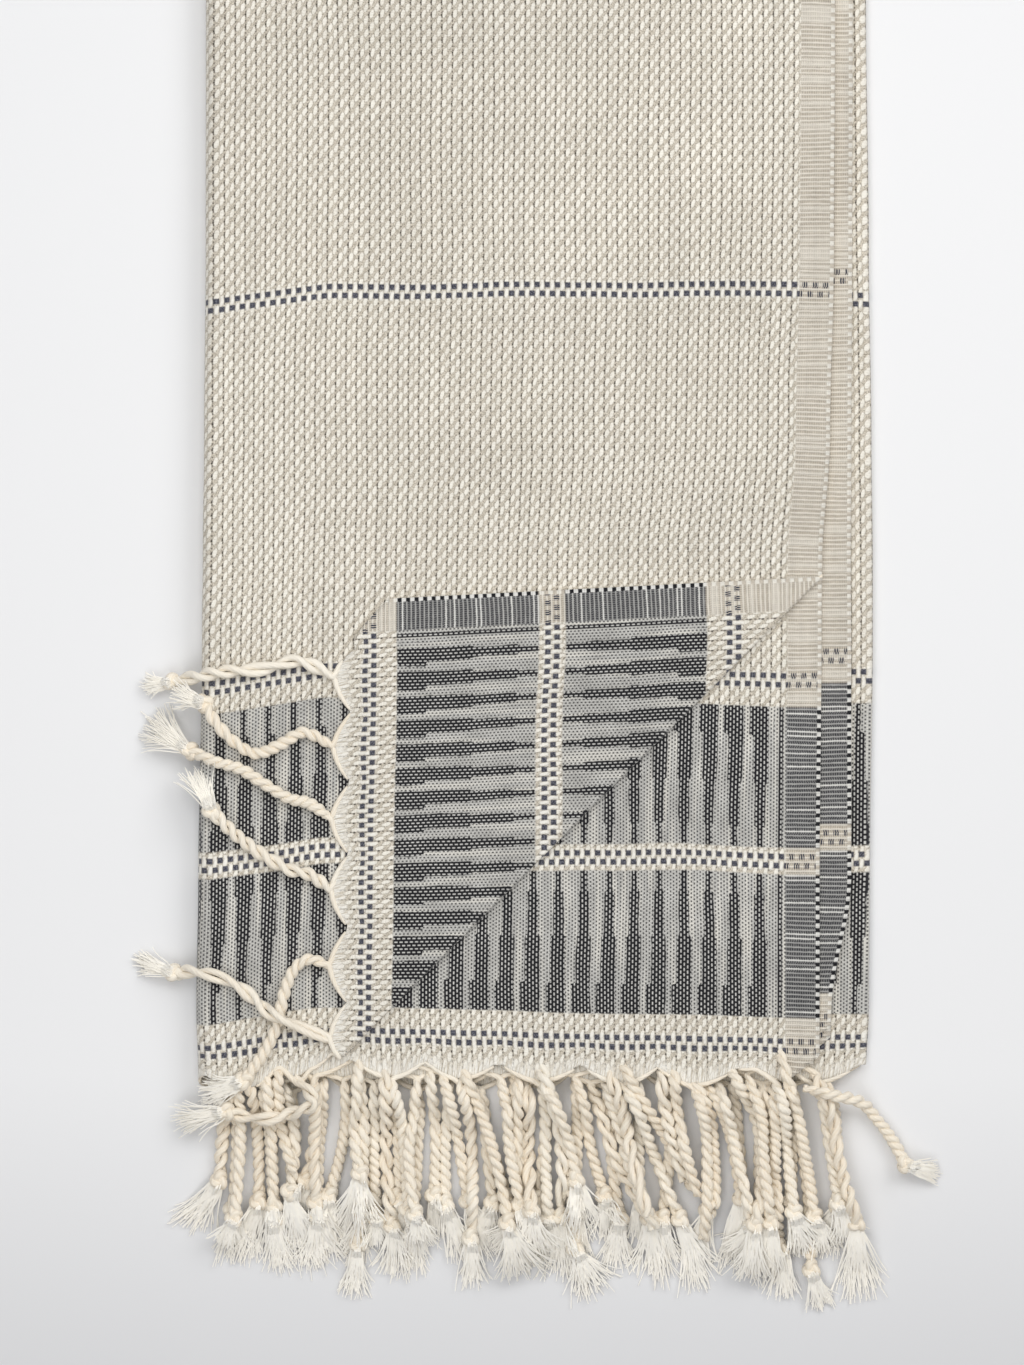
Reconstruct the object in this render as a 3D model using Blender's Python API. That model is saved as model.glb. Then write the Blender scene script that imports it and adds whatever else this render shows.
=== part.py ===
"""Hammam towel of woven cotton, folded into a flat pad with one corner turned back.

The towel is folded end to end, then twice lengthwise, so that eight plies lie on each other. Both
cut ends come together at the front, where their fringes lie out on the table. The front corner of
the topmost ply is folded back over the pad, and its fringe falls over the left side.

A point of the flat cloth is (u, v): u runs across the width from the first selvedge, v runs along
the length from the first cut end. place() folds such a point into the pad. +X is the pad's right,
+Y runs from the fringed front to the folded back, and +Z is up from the table.
"""

import math
from collections import namedtuple

import bmesh
import bpy
from mathutils import Vector

MM = 0.001
TINY = 1e-6

# The cloth and the pitch at which its plies lie on each other.
CLOTH = 0.0010
PLY_GAP = 0.0004
PITCH = CLOTH + PLY_GAP
HALF_PITCH = PITCH / 2

# The folded pad, seen from above.
PAD_WIDTH = 0.2558
PAD_LENGTH = 0.8200
FRONT = -PAD_LENGTH / 2
BACK = PAD_LENGTH / 2 - HALF_PITCH - CLOTH / 2
FIRST_EDGE = 0.1105
SECOND_EDGE = 0.1170

# The lengthwise folds: the outer left one goes around the inner left one, on the same axis.
OUTER_RADIUS = 3 * PITCH
INNER_RADIUS = PITCH
LEFT_AXIS = -PAD_WIDTH / 2 + OUTER_RADIUS + HALF_PITCH + CLOTH / 2
RIGHT_AXIS = PAD_WIDTH / 2 - INNER_RADIUS - HALF_PITCH - CLOTH / 2
TOP_RUN_HEIGHT = CLOTH / 2 + 6.5 * PITCH

# The section of the pad, followed from the first selvedge to the second: (run, length, turn).
SECTION = (
    ("top run", FIRST_EDGE - LEFT_AXIS, 0.0),
    ("outer left fold", math.pi * OUTER_RADIUS, math.pi),
    ("bottom run", RIGHT_AXIS - LEFT_AXIS, 0.0),
    ("right fold", math.pi * INNER_RADIUS, math.pi),
    ("third run", RIGHT_AXIS - LEFT_AXIS, 0.0),
    ("inner left fold", math.pi * INNER_RADIUS, -math.pi),
    ("second run", SECOND_EDGE - LEFT_AXIS, 0.0),
)
FIRST_RUN_LENGTH = SECTION[0][1]
CLOTH_WIDTH = sum(length for run, length, turn in SECTION)

# Along the length: one ply, the end-to-end fold, the other ply.
PLY_LENGTH = BACK - FRONT
END_FOLD_LENGTH = math.pi * HALF_PITCH
CLOTH_LENGTH = 2 * PLY_LENGTH + END_FOLD_LENGTH

# Each run between folds is divided into cells.
RUN = RIGHT_AXIS - LEFT_AXIS
CELLS_ACROSS = 6
CELL = RUN / CELLS_ACROSS

# How far the folds and selvedges stray from straight lines, in millimetres:
# (y, left fold, right fold, first selvedge, second selvedge).
Stray = namedtuple("Stray", "y left_fold right_fold first_selvedge second_selvedge")
STRAY = (
    (-410, -0.6, -1.9, -0.9, -5.1),
    (-385, 0.0, -0.8, -2.0, -3.9),
    (-335, 0.0, -0.4, -2.4, 2.9),
    (-244, 0.0, 0.7, -3.5, 2.2),
    (-214, 0.0, 0.7, -2.5, -0.5),
    (-168, 0.6, 0.2, 0.8, -5.3),
    (-96, 1.9, -0.8, 3.7, -4.7),
    (0, 1.9, -1.9, 4.8, -4.0),
    (200, 0.5, -0.5, 3.0, -5.0),
    (410, 1.0, -1.5, 2.0, -3.0),
)

# How far each ply's cut end lies behind the front line, in millimetres: at the left, and at the
# right, which it reaches that far from the left fold:
# (run, first ply left, first ply right, over, second ply left, second ply right, over).
CUT_END_SHIFT = (
    ("top run", -3.5, 3.0, CELL, 4.5, -2.0, RUN),
    ("outer left fold", -3.5, -3.5, RUN, 4.5, 4.5, RUN),
    ("bottom run", -3.5, 0.0, RUN, 4.5, 2.0, RUN),
    ("right fold", 0.0, 0.0, RUN, 2.0, 2.0, RUN),
    ("third run", 1.5, 0.0, RUN, 3.0, 2.0, RUN),
    ("inner left fold", 1.5, 1.5, RUN, 3.0, 3.0, RUN),
    ("second run", 1.5, 5.0, RUN, 3.0, 8.4, RUN),
)

# The corner that is turned back: its fold crosses the pad at 45 degrees, from this point of the
# front line up to the right.
TURN_X = -0.0810
TURN_SHIFT = CUT_END_SHIFT[0][2] * MM
TURN_RADIUS = HALF_PITCH
TURN_ARC = math.pi * TURN_RADIUS
TURN_OUT = Vector((1.0, -1.0, 0.0)).normalized()
UP = Vector((0.0, 0.0, 1.0))

# Corners of the cloth, which the last tassels draw in: (at far selvedge, at far end, width, length).
DRAWN_CORNERS = (
    (False, False, 0.022, 0.020),
    (True, False, 0.014, 0.010),
    (False, True, 0.014, 0.010),
    (True, True, 0.014, 0.010),
)

# The fringe: a narrow band of gathered warp along the cut end, with one strand for each tassel.
FRINGE_GAP = 0.0009
FRINGE_BAND = 0.0030
BAND_END = FRINGE_GAP + FRINGE_BAND
STRAND_WIDTH = 0.0030
STRAND_SPACING = 0.0292
FRINGE_LENGTH = 0.0860
FRINGE_UNEVEN = 0.0055
UNEVEN_STEP = 2.4
STRAND_SLOTS = 8
LEVEL_LENGTH = 0.0075
TABLE_CLEARANCE = 0.0003

# Which slot of the spacing the strands of each run take, so that none lies on another:
# (run, slot of the first end, slot of the second end).
STRAND_SLOT = (
    ("top run", 0, 6),
    ("bottom run", 3, 4),
    ("third run", 5, 1),
    ("second run", 7, 2),
)
FRONT_BEND = 0.0060
SIDE_BEND = 0.0080
STEEPEST = math.radians(58)

# Past its level start the front fringe spreads out sideways over this distance.
SPREAD_LENGTH = 0.080
SPREAD_RIGHT = 0.027
SPREAD_LEFT = 0.008
SPREAD_FROM = 0.055

# Where the flat cloth and fringe are divided so that they can follow the folds.
FRONT_CELLS = 9
BACK_CELLS = 4
OUTER_FOLD_CELLS = 6
INNER_FOLD_CELLS = 6
END_FOLD_CELLS = 4
TURN_CELLS = 4
FRONT_STRAND_ROWS = (0.0080, 0.0120, 0.0170, 0.0230)
SIDE_STRAND_ROWS = (0.0450, 0.0500, 0.0545, 0.0590, 0.0640, 0.0690)

# The stack lies softly: it stands a little higher along its left fold and in two long swells.
FOLD_SWELL = 0.10
FOLD_SWELL_REACH = 0.022
LONG_SWELL = 0.045
SWELL_ACROSS = 0.36
SWELL_ALONG = 0.74
SWELL_ACROSS_PHASE = 0.8
SWELL_ALONG_PHASE = 0.4

WEAVE_COLOUR = (0.58, 0.53, 0.44)
WEAVE_ROUGHNESS = 0.92
COTTON_COLOUR = (0.86, 0.79, 0.64)
COTTON_ROUGHNESS = 0.90


def clamp(value, low, high):
    return max(low, min(high, value))


def smooth(value):
    """A soft step from 0 to 1."""
    step = clamp(value, 0.0, 1.0)
    return step * step * (3 - 2 * step)


def stray(y):
    """The four lines' stray at y, in metres, blended softly between the table's rows."""
    rows = [Stray(*(number * MM for number in row)) for row in STRAY]
    if y <= rows[0].y:
        return rows[0]
    for before, after in zip(rows, rows[1:]):
        if y <= after.y:
            part = smooth((y - before.y) / (after.y - before.y))
            return Stray(*(a + (b - a) * part for a, b in zip(before, after)))
    return rows[-1]


def fold_end_to_end(v, w):
    """The first fold: y, and the height from the middle of the two plies."""
    turned = clamp((v - PLY_LENGTH) / HALF_PITCH, 0.0, math.pi)
    past = max(0.0, v - PLY_LENGTH - END_FOLD_LENGTH)
    straight = min(v, PLY_LENGTH) - past
    y = FRONT + straight + (HALF_PITCH + w) * math.sin(turned)
    return y, (HALF_PITCH + w) * math.cos(turned)


def fold_lengthwise(u):
    """The pad's section at u: the run, x, z and heading of the middle of the two plies."""
    x = FIRST_EDGE
    z = TOP_RUN_HEIGHT
    heading = math.pi
    for run, length, turn in SECTION:
        step = clamp(u, 0.0, length)
        if turn:
            radius = length / turn
            after = heading + turn * step / length
            x += radius * (math.sin(after) - math.sin(heading))
            z -= radius * (math.cos(after) - math.cos(heading))
            heading = after
        else:
            x += step * math.cos(heading)
        u -= length
        if u <= 0:
            break
    return run, x, z, heading


def cut_end_shift(run, first_ply, x, y):
    """How far the ply lies back at x, fading out towards the folded back of the pad."""
    shifts = {name: row for name, *row in CUT_END_SHIFT}[run]
    left, right, over = shifts[:3] if first_ply else shifts[3:]
    share = clamp((x - LEFT_AXIS) / over, 0.0, 1.0)
    return (left + (right - left) * share) * MM * smooth((BACK - y) / BACK)


def selvedge_stray(run, x, y):
    """The top and second runs lie a little to one side, most at their selvedges."""
    if run == "top run":
        return stray(y).first_selvedge * smooth((x - LEFT_AXIS) / (FIRST_EDGE - LEFT_AXIS))
    if run == "second run":
        return stray(y).second_selvedge * smooth((x - LEFT_AXIS) / (SECOND_EDGE - LEFT_AXIS))
    return 0.0


def come_down(distance, drop, bend):
    """A strand leaves its ply level and comes down to the table: how far out and down, and slope."""
    if distance <= 0 or drop <= 0:
        return distance, 0.0, 0.0
    slope = min(STEEPEST, math.acos(clamp(1 - drop / (2 * bend), -1.0, 1.0)))
    straight = (drop - 2 * bend * (1 - math.cos(slope))) / math.sin(slope)
    first = clamp(distance / bend, 0.0, slope)
    middle = clamp(distance - bend * slope, 0.0, straight)
    last = clamp((distance - bend * slope - straight) / bend, 0.0, slope)
    rest = max(0.0, distance - 2 * bend * slope - straight)
    out = bend * math.sin(first) + middle * math.cos(slope) + rest
    out += bend * (math.sin(slope) - math.sin(slope - last))
    down = bend * (1 - math.cos(first)) + middle * math.sin(slope)
    down += bend * (math.cos(slope - last) - math.cos(slope))
    return out, down, first - last


def hang(point, offset, direction, distance, bend):
    """Lead a strand over an edge: point is its middle at the edge's height, offset its thickness."""
    drop = point.z - CLOTH / 2 - TABLE_CLEARANCE
    out, down, slope = come_down(distance, drop, bend)
    middle = point - direction * distance + direction * out - UP * down
    return middle + offset.z * (UP * math.cos(slope) + direction * math.sin(slope))


def turn_corner(point, offset):
    """The diagonal fold of the topmost ply's front corner."""
    beyond = (point - Vector((TURN_X, FRONT, point.z))).dot(TURN_OUT)
    angle = clamp(beyond / TURN_RADIUS, 0.0, math.pi)
    back = max(0.0, beyond - TURN_ARC)
    out = min(0.0, beyond) + TURN_RADIUS * math.sin(angle) - back
    turned = point + TURN_OUT * (out - beyond) + UP * TURN_RADIUS * (1 - math.cos(angle))
    return turned, offset.z * (UP * math.cos(angle) - TURN_OUT * math.sin(angle))


def settle(point):
    """The stray of the two outer folds, the spread of the fringe and the softness of the stack."""
    side = smooth(point.x / PAD_WIDTH + 0.5)
    folds = stray(point.y).left_fold * (1 - side) + stray(point.y).right_fold * side
    swell = FOLD_SWELL * math.exp(-(((point.x - LEFT_AXIS) / FOLD_SWELL_REACH) ** 2))
    across = math.sin(math.tau * point.x / SWELL_ACROSS + SWELL_ACROSS_PHASE)
    along = math.sin(math.tau * point.y / SWELL_ALONG + SWELL_ALONG_PHASE)
    swell += LONG_SWELL * (1 + across * along)
    spread = max(0.0, FRONT - LEVEL_LENGTH - point.y) / SPREAD_LENGTH
    half = PAD_WIDTH / 2 - SPREAD_FROM
    sideways = SPREAD_RIGHT * smooth((point.x - SPREAD_FROM) / half)
    sideways -= SPREAD_LEFT * smooth((-point.x - SPREAD_FROM) / half)
    return Vector((point.x + folds + sideways * spread, point.y, point.z * (1 + swell)))


def place(u, v, w):
    """Fold the point (u, v) of the flat cloth, w above its middle, into the pad."""
    run, x, z, heading = fold_lengthwise(u)
    first_ply = v < PLY_LENGTH + END_FOLD_LENGTH / 2
    y, height = fold_end_to_end(v, 0.0)
    outer_y, outer_height = fold_end_to_end(v, w)
    strand = y < FRONT - BAND_END - TINY
    across = Vector((math.sin(heading), 0.0, -math.cos(heading)))
    offset = across * (outer_height - height) + Vector((0.0, outer_y - y, 0.0))
    y += cut_end_shift(run, first_ply, x, y)
    point = Vector((x, y, z)) + across * height
    on_corner = run == "top run" and first_ply and (x > TURN_X or not strand)
    on_corner = on_corner and (x - TURN_X) - (y - FRONT) > 0
    if on_corner:
        point, offset = turn_corner(point, offset)
    point.x += selvedge_stray(run, point.x, point.y)
    if strand and on_corner and point.x < LEFT_AXIS:
        leftwards = Vector((-1.0, 0.0, 0.0))
        return settle(hang(point, offset, leftwards, LEFT_AXIS - point.x, SIDE_BEND))
    over_front = FRONT - LEVEL_LENGTH - point.y
    if strand and over_front > 0 and not on_corner:
        return settle(hang(point, offset, Vector((0.0, -1.0, 0.0)), over_front, FRONT_BEND))
    return settle(point + offset)


def fold_cuts():
    """Where the lengthwise folds are divided, and where each run is, measured along u."""
    folds = []
    runs = {}
    start = 0.0
    for run, length, turn in SECTION:
        runs[run] = start
        if turn:
            cells = OUTER_FOLD_CELLS if "outer" in run else INNER_FOLD_CELLS
            folds += [start + length * cell / cells for cell in range(cells + 1)]
        start += length
    return folds, runs


def along_run(run, x):
    """The u of a run's point that lies at x."""
    start = fold_cuts()[1][run]
    if run == "top run":
        return FIRST_EDGE - x
    if run == "third run":
        return start + RIGHT_AXIS - x
    return start + x - LEFT_AXIS


def flat_sheet(u_range, v_range):
    """One flat face of the given extent, as the start of a sheet."""
    bm = bmesh.new()
    bmesh.ops.create_grid(bm, x_segments=1, y_segments=1, size=0.5)
    for vert in bm.verts:
        vert.co.x = u_range[0] + (vert.co.x + 0.5) * (u_range[1] - u_range[0])
        vert.co.y = v_range[0] + (vert.co.y + 0.5) * (v_range[1] - v_range[0])
    return bm


def cut(bm, point, normal, inside=None, clear=False):
    """Divide the faces whose middle is inside along a line; clear drops what lies past it."""
    faces = [face for face in bm.faces if inside is None or inside(face.calc_center_median())]
    edges = list(dict.fromkeys(edge for face in faces for edge in face.edges))
    verts = list(dict.fromkeys(vert for face in faces for vert in face.verts))
    bmesh.ops.bisect_plane(
        bm,
        geom=faces + edges + verts,
        dist=TINY,
        plane_co=point,
        plane_no=normal,
        clear_outer=clear,
    )


def cut_turned_corner(bm):
    """Divide the topmost ply along the diagonal fold, which the flat cloth meets at 45 degrees."""

    def on_top_ply(middle):
        return middle.x < FIRST_RUN_LENGTH and middle.y < PLY_LENGTH

    for cell in range(TURN_CELLS + 1):
        beyond = TURN_ARC * cell / TURN_CELLS
        start = FIRST_EDGE - TURN_X - TURN_SHIFT - beyond * math.sqrt(2)
        cut(bm, (start, 0.0, 0.0), (1.0, 1.0, 0.0), on_top_ply)


def thicken(bm):
    """Give the flat sheet its thickness, half above and half below its middle, facing outwards."""
    bmesh.ops.solidify(bm, geom=bm.faces[:], thickness=CLOTH)
    bmesh.ops.recalc_face_normals(bm, faces=bm.faces[:])
    middle = sum(vert.co.z for vert in bm.verts) / len(bm.verts)
    for vert in bm.verts:
        vert.co.z -= middle


def finish(bm, name, collection, material):
    """Fold the flat piece into the pad, which mirrors it, and make it an object."""
    for vert in bm.verts:
        vert.co = place(*vert.co)
    bmesh.ops.reverse_faces(bm, faces=bm.faces[:])
    mesh = bpy.data.meshes.new(name)
    bm.to_mesh(mesh)
    bm.free()
    mesh.materials.append(material)
    piece = bpy.data.objects.new(name, mesh)
    collection.objects.link(piece)
    return piece


def make_cloth(collection, material):
    """The towel itself, from selvedge to selvedge and from cut end to cut end."""
    bm = flat_sheet((0.0, CLOTH_WIDTH), (0.0, CLOTH_LENGTH))
    for u in fold_cuts()[0]:
        cut(bm, (u, 0.0, 0.0), (1.0, 0.0, 0.0))
    for run, length, turn in SECTION:
        if turn:
            continue
        for cell in range(1, CELLS_ACROSS):
            cut(bm, (along_run(run, LEFT_AXIS + CELL * cell), 0.0, 0.0), (1.0, 0.0, 0.0))
    half = PLY_LENGTH / 2
    rows = [half * row / FRONT_CELLS for row in range(1, FRONT_CELLS + 1)]
    rows += [half + half * row / BACK_CELLS for row in range(1, BACK_CELLS)]
    rows += [CLOTH_LENGTH - row for row in rows]
    rows += [PLY_LENGTH + END_FOLD_LENGTH * row / END_FOLD_CELLS for row in range(END_FOLD_CELLS + 1)]
    for v in rows:
        cut(bm, (0.0, v, 0.0), (0.0, 1.0, 0.0))
    cut_turned_corner(bm)
    for far_selvedge, far_end, width, length in DRAWN_CORNERS:
        u = CLOTH_WIDTH - width if far_selvedge else width
        v = CLOTH_LENGTH if far_end else 0.0
        outward = Vector((length if far_selvedge else -length, width if far_end else -width, 0.0))
        cut(bm, (u, v, 0.0), outward, clear=True)
    thicken(bm)
    return finish(bm, "towel_cloth", collection, material)


def strand_places(second_end):
    """The u of each strand of one fringe, run by run."""
    places = []
    for run, first_slot, second_slot in STRAND_SLOT:
        slot = second_slot if second_end else first_slot
        edge = {"top run": FIRST_EDGE, "second run": SECOND_EDGE}.get(run, RIGHT_AXIS)
        x = LEFT_AXIS + STRAND_WIDTH + STRAND_SPACING * slot / STRAND_SLOTS
        while x < edge - STRAND_WIDTH:
            places.append(along_run(run, x - selvedge_stray(run, x, FRONT)))
            x += STRAND_SPACING
    return sorted(places)


def make_fringe(name, second_end, collection, material):
    """One comb along a cut end: the gathered band and its strands."""
    corners = [row for row in DRAWN_CORNERS if row[1] == second_end]
    u_range = (corners[0][2], CLOTH_WIDTH - corners[1][2])
    outward = 1 if second_end else -1
    cut_end = CLOTH_LENGTH if second_end else 0.0
    v_range = sorted((cut_end + outward * FRINGE_GAP, cut_end + outward * BAND_END))
    bm = flat_sheet(u_range, v_range)
    places = [u for u in strand_places(second_end) if u_range[0] < u - STRAND_WIDTH]
    places = [u for u in places if u + STRAND_WIDTH < u_range[1]]
    sides = [u + side * STRAND_WIDTH / 2 for u in places for side in (-1, 1)]
    for u in fold_cuts()[0] + sides:
        cut(bm, (u, 0.0, 0.0), (1.0, 0.0, 0.0))
    if not second_end:
        cut_turned_corner(bm)
    band_end = cut_end + outward * BAND_END
    for number, u in enumerate(places):
        on_corner = not second_end and u < FIRST_EDGE - TURN_X
        rows = SIDE_STRAND_ROWS if on_corner else FRONT_STRAND_ROWS
        tip = FRINGE_LENGTH + FRINGE_UNEVEN * math.sin(UNEVEN_STEP * number)
        row = [edge for edge in bm.edges if is_strand_root(edge, u, band_end)]
        for reach in (*rows, tip):
            row = extend(bm, row, cut_end + outward * reach)
    thicken(bm)
    return finish(bm, name, collection, material)


def is_strand_root(edge, u, v):
    """Whether an edge of the band's outer side lies within the strand at u."""
    on_side = all(abs(vert.co.y - v) < TINY for vert in edge.verts)
    return on_side and all(abs(vert.co.x - u) < STRAND_WIDTH / 2 + TINY for vert in edge.verts)


def extend(bm, row, v):
    """Lengthen a strand from its last row of edges to v."""
    made = bmesh.ops.extrude_edge_only(bm, edges=row)["geom"]
    for item in made:
        if isinstance(item, bmesh.types.BMVert):
            item.co.y = v
    return [edge for edge in made if isinstance(edge, bmesh.types.BMEdge) and crosses(edge, v)]


def crosses(edge, v):
    """Whether an edge lies along the line at v."""
    return all(abs(vert.co.y - v) < TINY for vert in edge.verts)


def plain_material(name, colour, roughness):
    """A matt cloth material."""
    material = bpy.data.materials.new(name)
    material.use_nodes = True
    shader = material.node_tree.nodes["Principled BSDF"]
    shader.inputs["Base Color"].default_value = (*colour, 1.0)
    shader.inputs["Roughness"].default_value = roughness
    shader.inputs["Metallic"].default_value = 0.0
    return material


def main():
    for leftover in list(bpy.data.objects):
        bpy.data.objects.remove(leftover, do_unlink=True)
    collection = bpy.data.collections.new("hammam_towel")
    bpy.context.scene.collection.children.link(collection)
    weave = plain_material("oat_and_charcoal_weave", WEAVE_COLOUR, WEAVE_ROUGHNESS)
    make_cloth(collection, weave)
    for name, second_end in (("fringe_of_first_end", False), ("fringe_of_second_end", True)):
        cotton = plain_material(name + "_cotton", COTTON_COLOUR, COTTON_ROUGHNESS)
        make_fringe(name, second_end, collection, cotton)


main()
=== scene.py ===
import math
import random

import bmesh
import bpy
import numpy as np
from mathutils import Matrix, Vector, noise


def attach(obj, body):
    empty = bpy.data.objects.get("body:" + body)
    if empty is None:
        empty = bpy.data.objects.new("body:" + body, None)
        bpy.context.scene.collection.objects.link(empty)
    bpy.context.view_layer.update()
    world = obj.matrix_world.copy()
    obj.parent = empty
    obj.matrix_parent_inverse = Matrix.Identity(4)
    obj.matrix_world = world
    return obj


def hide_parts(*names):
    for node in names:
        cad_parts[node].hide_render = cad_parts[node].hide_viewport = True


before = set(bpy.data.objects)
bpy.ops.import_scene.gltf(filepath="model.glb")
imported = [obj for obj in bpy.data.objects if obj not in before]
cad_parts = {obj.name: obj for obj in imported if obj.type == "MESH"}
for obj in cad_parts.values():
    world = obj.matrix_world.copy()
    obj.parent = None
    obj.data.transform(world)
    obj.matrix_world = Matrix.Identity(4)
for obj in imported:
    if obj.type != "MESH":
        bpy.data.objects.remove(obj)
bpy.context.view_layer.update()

MM = 0.001

# The folded towel, as its solids have it: lengths in metres, origin in the middle under the pad.
CLOTH = 0.0010
PITCH = 0.0014
HALF_PITCH = PITCH / 2
PAD_WIDTH = 0.2558
FRONT = -0.41
BACK = 0.41 - HALF_PITCH - CLOTH / 2
FIRST_EDGE = 0.1105
SECOND_EDGE = 0.1170
LEFT_AXIS = -PAD_WIDTH / 2 + 3 * PITCH + HALF_PITCH + CLOTH / 2
RIGHT_AXIS = PAD_WIDTH / 2 - PITCH - HALF_PITCH - CLOTH / 2
TOP_HEIGHT = CLOTH / 2 + 6.5 * PITCH
INNER_RUN = RIGHT_AXIS - LEFT_AXIS
SECTION = (
    ("top", FIRST_EDGE - LEFT_AXIS, 0.0),
    ("outer fold", math.pi * 3 * PITCH, math.pi),
    ("bottom", INNER_RUN, 0.0),
    ("right fold", math.pi * PITCH, math.pi),
    ("third", INNER_RUN, 0.0),
    ("inner fold", math.pi * PITCH, -math.pi),
    ("second", SECOND_EDGE - LEFT_AXIS, 0.0),
)
WIDTH = sum(length for name, length, turn in SECTION)
PLY_LENGTH = BACK - FRONT
END_FOLD = math.pi * HALF_PITCH
LENGTH = 2 * PLY_LENGTH + END_FOLD
RUN_OF_PLY = ("bottom", "bottom", "third", "third", "second", "second", "top", "top")

# How the lines of the stack stray from straight (mm): y, top selvedge, left fold, second selvedge
# and right fold.
STRAY = (
    (-410, -2.8, -1.0, -5.5, -1.9),
    (-385, -2.8, -1.8, -4.7, -0.8),
    (-335, -2.8, -1.0, 2.9, -0.4),
    (-244, -2.0, 0.4, 2.9, 0.7),
    (-214, -2.0, 0.7, 2.7, 0.7),
    (-168, 1.0, 1.2, 2.9, 0.2),
    (-96, 2.5, 1.8, 3.2, -0.8),
    (0, 2.9, 1.9, 3.4, -1.9),
    (200, 2.0, 1.5, 3.0, -0.5),
    (410, 1.0, 1.0, 2.0, -1.5),
)
# How far each cut end lies back (mm): first ply left, right, over; second ply left, right, over.
CUT_BACK = {
    "top": (-3.5, 3.0, INNER_RUN / 6, 4.5, -2.0, INNER_RUN),
    "outer fold": (-3.5, -3.5, 1.0, 4.5, 4.5, 1.0),
    "bottom": (-3.5, 0.0, INNER_RUN, 4.5, 2.0, INNER_RUN),
    "right fold": (0.0, 0.0, 1.0, 2.0, 2.0, 1.0),
    "third": (1.5, 0.0, INNER_RUN, 3.0, 2.0, INNER_RUN),
    "inner fold": (1.5, 1.5, 1.0, 3.0, 3.0, 1.0),
    "second": (1.5, 5.0, INNER_RUN, 3.0, 8.4, INNER_RUN),
}
# The front corner of the topmost ply is turned back over a line at 45 degrees.
TURN_X = -0.0810
TURN_ARC = math.pi * HALF_PITCH
TURN_OUT = Vector((1.0, -1.0, 0.0)).normalized()
TURN_START = FIRST_EDGE - TURN_X - 0.0030
UP = Vector((0.0, 0.0, 1.0))
CORNERS = (
    (False, False, 0.022, 0.020),
    (True, False, 0.014, 0.010),
    (False, True, 0.014, 0.010),
    (True, True, 0.014, 0.010),
)

# Each tassel draws the cut end out to its root; between two roots the end lies back in a cusp.
SCALLOP_OUT = 0.0028
SCALLOP_BACK = 0.0040
CORNER_BACK = 0.0030
SCALLOP_REACH = 0.016

# Soft unevenness of the stack, as a share of the height.
SWELL = 0.045
RUMPLE = 0.075

# The cords, their knots and frayed ends, and the highest that any of it may stand.
CORD_RADIUS = 0.00235
PLY_RADIUS = 0.00134
KNOT_SIZE = 0.0030
KNOT_HEIGHT = 0.0046
BUNDLE_REACH = 0.0135
ROOTS_APART = 0.020
FIBRES = 84
SEED = 1000
FLAP_SEED = 200
HEIGHT_LIMIT = 0.0225
# The grid on which the height of the heap of tassels is kept.
GRID_STEP = 0.001
GRID_LOW = (-0.20, -0.56)
GRID_SHAPE = (420, 360)

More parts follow.
